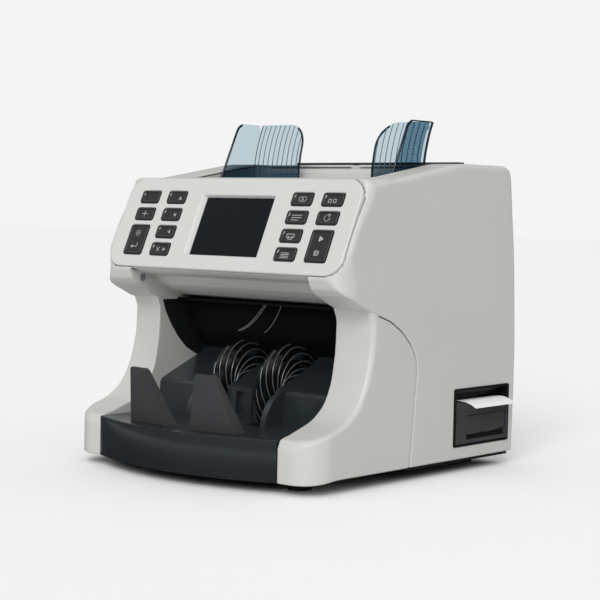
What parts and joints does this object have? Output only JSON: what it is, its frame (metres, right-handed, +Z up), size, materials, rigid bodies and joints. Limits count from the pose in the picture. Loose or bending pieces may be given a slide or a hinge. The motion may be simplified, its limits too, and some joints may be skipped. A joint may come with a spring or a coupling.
{
  "type": "banknote counting machine",
  "caption": "Desktop banknote counter with a top hopper, smoked note guides, keypad and display, open stacker pocket with finned wheels and a side receipt printer.",
  "frame": {"origin": "centre of the machine's symmetry plane at the surface that the feet stand on", "axes": "+X to the machine's right side with the printer, -Y to the front with the keypad and pocket, +Z up"},
  "size_m": [0.2691, 0.2848, 0.282],
  "materials": {
    "white_casing": "fine matte moulded texture",
    "panel_white": "satin moulded",
    "glossy_black": "polished",
    "black_plastic": "satin moulded",
    "dark_grey_plastic": "satin moulded",
    "key_plastic": "satin with printed icons",
    "display_glass": "dark display glass",
    "smoked_plastic": "clear smoked polycarbonate",
    "steel": "brushed",
    "rubber": "matte",
    "circuit_board": "solder mask",
    "paper": "smooth thermal paper"
  },
  "bodies": {
    "chassis": {"main_cover": "white_casing", "front_frame": "white_casing", "control_panel": "panel_white", "display": "display_glass", "keypad_board": "circuit_board", "front_strip": "glossy_black", "stacker_tray": "black_plastic", "note_stop_left": "dark_grey_plastic", "note_stop_right": "dark_grey_plastic", "base_plate": "steel", "feet": "rubber", "side_plates": "steel", "hopper_tray": "white_casing", "guide_rail": "steel", "sensor_bars": "black_plastic", "drive_motor": "steel", "drive_belts": "rubber", "main_board": "circuit_board", "power_supply": "circuit_board", "mains_inlet": "black_plastic", "port_plate": "black_plastic", "printer_housing": "dark_grey_plastic", "throat_guide": "black_plastic", "cover_screws": "steel"},
    "note_guide_left": {"note_guide_left": "smoked_plastic"},
    "note_guide_right": {"note_guide_right": "smoked_plastic"},
    "stacker": {"stacker_shaft": "steel", "stacker_wheel_left": "black_plastic", "stacker_wheel_right": "black_plastic"},
    "pickup": {"pickup_shaft": "steel", "pickup_tyres": "rubber"},
    "feed": {"feed_shaft": "steel", "feed_tyres": "rubber"},
    "transport": {"transport_shaft": "steel", "transport_tyres": "rubber"},
    "pinch": {"pinch_rollers": "steel"},
    "motor_pulley": {"motor_pulley": "steel"},
    "rear_door": {"rear_door": "white_casing", "door_handle": "dark_grey_plastic"},
    "gap_knob": {"gap_knob": "dark_grey_plastic"},
    "power_rocker": {"power_rocker": "glossy_black"},
    "printer_door": {"printer_door": "dark_grey_plastic", "paper_slip": "paper"},
    "printer_lever": {"printer_lever": "dark_grey_plastic"},
    "platen_roller": {"platen_roller": "rubber"},
    "paper_roll": {"paper_roll": "paper"},
    "key_num1": {"key_num1": "key_plastic"},
    "key_add": {"key_add": "key_plastic"},
    "key_set": {"key_set": "key_plastic"},
    "key_up": {"key_up": "key_plastic"},
    "key_down": {"key_down": "key_plastic"},
    "key_left": {"key_left": "key_plastic"},
    "key_clear": {"key_clear": "key_plastic"},
    "key_currency": {"key_currency": "key_plastic"},
    "key_report": {"key_report": "key_plastic"},
    "key_print": {"key_print": "key_plastic"},
    "key_batch": {"key_batch": "key_plastic"},
    "key_mode": {"key_mode": "key_plastic"},
    "key_auto": {"key_auto": "key_plastic"},
    "key_start": {"key_start": "key_plastic"}
  },
  "joints": [
    {"name": "note_guide_left_slide", "type": "slide", "parent": "chassis", "child": "note_guide_left", "axis": [1, 0, 0], "range_m": [0, 0.034]},
    {"name": "note_guide_right_slide", "type": "slide", "parent": "chassis", "child": "note_guide_right", "axis": [-1, 0, 0], "range_m": [0, 0.034]},
    {"name": "transport_spin", "type": "hinge", "parent": "chassis", "child": "transport", "pos_m": [0, -0.006, 0.122], "axis": [1, 0, 0], "continuous": true},
    {"name": "motor_spin", "type": "hinge", "parent": "chassis", "child": "motor_pulley", "pos_m": [0, 0.078, 0.13], "axis": [1, 0, 0], "continuous": true},
    {"name": "feed_spin", "type": "hinge", "parent": "chassis", "child": "feed", "pos_m": [0, -0.014, 0.176], "axis": [1, 0, 0], "continuous": true},
    {"name": "pickup_spin", "type": "hinge", "parent": "chassis", "child": "pickup", "pos_m": [0, 0.018, 0.189], "axis": [1, 0, 0], "continuous": true},
    {"name": "pinch_spin", "type": "hinge", "parent": "chassis", "child": "pinch", "pos_m": [0, 0.0216, 0.122], "axis": [1, 0, 0], "continuous": true},
    {"name": "stacker_spin", "type": "hinge", "parent": "chassis", "child": "stacker", "pos_m": [0, -0.04, 0.062], "axis": [1, 0, 0], "continuous": true},
    {"name": "rear_door_hinge", "type": "hinge", "parent": "chassis", "child": "rear_door", "pos_m": [0, 0.1272, 0.0924], "axis": [-1, 0, 0], "range_deg": [0, 65]},
    {"name": "gap_knob_turn", "type": "hinge", "parent": "chassis", "child": "gap_knob", "pos_m": [0, 0.081, 0.24], "axis": [0, 0, 1], "range_deg": [-180, 180]},
    {"name": "power_rocker_tilt", "type": "hinge", "parent": "chassis", "child": "power_rocker", "pos_m": [-0.052, 0.1244, 0.036], "axis": [1, 0, 0], "range_deg": [0, 14]},
    {"name": "printer_door_hinge", "type": "hinge", "parent": "chassis", "child": "printer_door", "pos_m": [0.1272, 0.083, 0.024], "axis": [0, 1, 0], "range_deg": [0, 80]},
    {"name": "printer_lever_hinge", "type": "hinge", "parent": "printer_door", "child": "printer_lever", "pos_m": [0.127, 0.083, 0.0446], "axis": [0, -1, 0], "range_deg": [0, 25]},
    {"name": "platen_spin", "type": "hinge", "parent": "printer_door", "child": "platen_roller", "pos_m": [0.1194, 0.083, 0.0524], "axis": [0, 1, 0], "continuous": true},
    {"name": "paper_roll_spin", "type": "hinge", "parent": "chassis", "child": "paper_roll", "pos_m": [0.098, 0.083, 0.0426], "axis": [0, 1, 0], "continuous": true},
    {"name": "key_num1_press", "type": "slide", "parent": "chassis", "child": "key_num1", "axis": [0, 0.9121, -0.4099], "range_m": [0, 0.0008], "stiffness_N_per_m": 800},
    {"name": "key_add_press", "type": "slide", "parent": "chassis", "child": "key_add", "axis": [0, 0.9121, -0.4099], "range_m": [0, 0.0008], "stiffness_N_per_m": 800},
    {"name": "key_set_press", "type": "slide", "parent": "chassis", "child": "key_set", "axis": [0, 0.9121, -0.4099], "range_m": [0, 0.0008], "stiffness_N_per_m": 800},
    {"name": "key_up_press", "type": "slide", "parent": "chassis", "child": "key_up", "axis": [0, 0.9121, -0.4099], "range_m": [0, 0.0008], "stiffness_N_per_m": 800},
    {"name": "key_down_press", "type": "slide", "parent": "chassis", "child": "key_down", "axis": [0, 0.9121, -0.4099], "range_m": [0, 0.0008], "stiffness_N_per_m": 800},
    {"name": "key_left_press", "type": "slide", "parent": "chassis", "child": "key_left", "axis": [0, 0.9121, -0.4099], "range_m": [0, 0.0008], "stiffness_N_per_m": 800},
    {"name": "key_clear_press", "type": "slide", "parent": "chassis", "child": "key_clear", "axis": [0, 0.9121, -0.4099], "range_m": [0, 0.0008], "stiffness_N_per_m": 800},
    {"name": "key_currency_press", "type": "slide", "parent": "chassis", "child": "key_currency", "axis": [0, 0.9121, -0.4099], "range_m": [0, 0.0008], "stiffness_N_per_m": 800},
    {"name": "key_report_press", "type": "slide", "parent": "chassis", "child": "key_report", "axis": [0, 0.9121, -0.4099], "range_m": [0, 0.0008], "stiffness_N_per_m": 800},
    {"name": "key_print_press", "type": "slide", "parent": "chassis", "child": "key_print", "axis": [0, 0.9121, -0.4099], "range_m": [0, 0.0008], "stiffness_N_per_m": 800},
    {"name": "key_batch_press", "type": "slide", "parent": "chassis", "child": "key_batch", "axis": [0, 0.9121, -0.4099], "range_m": [0, 0.0008], "stiffness_N_per_m": 800},
    {"name": "key_mode_press", "type": "slide", "parent": "chassis", "child": "key_mode", "axis": [0, 0.9121, -0.4099], "range_m": [0, 0.0008], "stiffness_N_per_m": 800},
    {"name": "key_auto_press", "type": "slide", "parent": "chassis", "child": "key_auto", "axis": [0, 0.9121, -0.4099], "range_m": [0, 0.0008], "stiffness_N_per_m": 800},
    {"name": "key_start_press", "type": "slide", "parent": "chassis", "child": "key_start", "axis": [0, 0.9121, -0.4099], "range_m": [0, 0.0008], "stiffness_N_per_m": 800}
  ],
  "couplings": [
    {"joint": "motor_spin", "follows": "transport_spin", "ratio": 1},
    {"joint": "feed_spin", "follows": "transport_spin", "ratio": 1},
    {"joint": "pickup_spin", "follows": "transport_spin", "ratio": 1},
    {"joint": "stacker_spin", "follows": "transport_spin", "ratio": 0.5},
    {"joint": "pinch_spin", "follows": "transport_spin", "ratio": -1.4545}
  ]
}
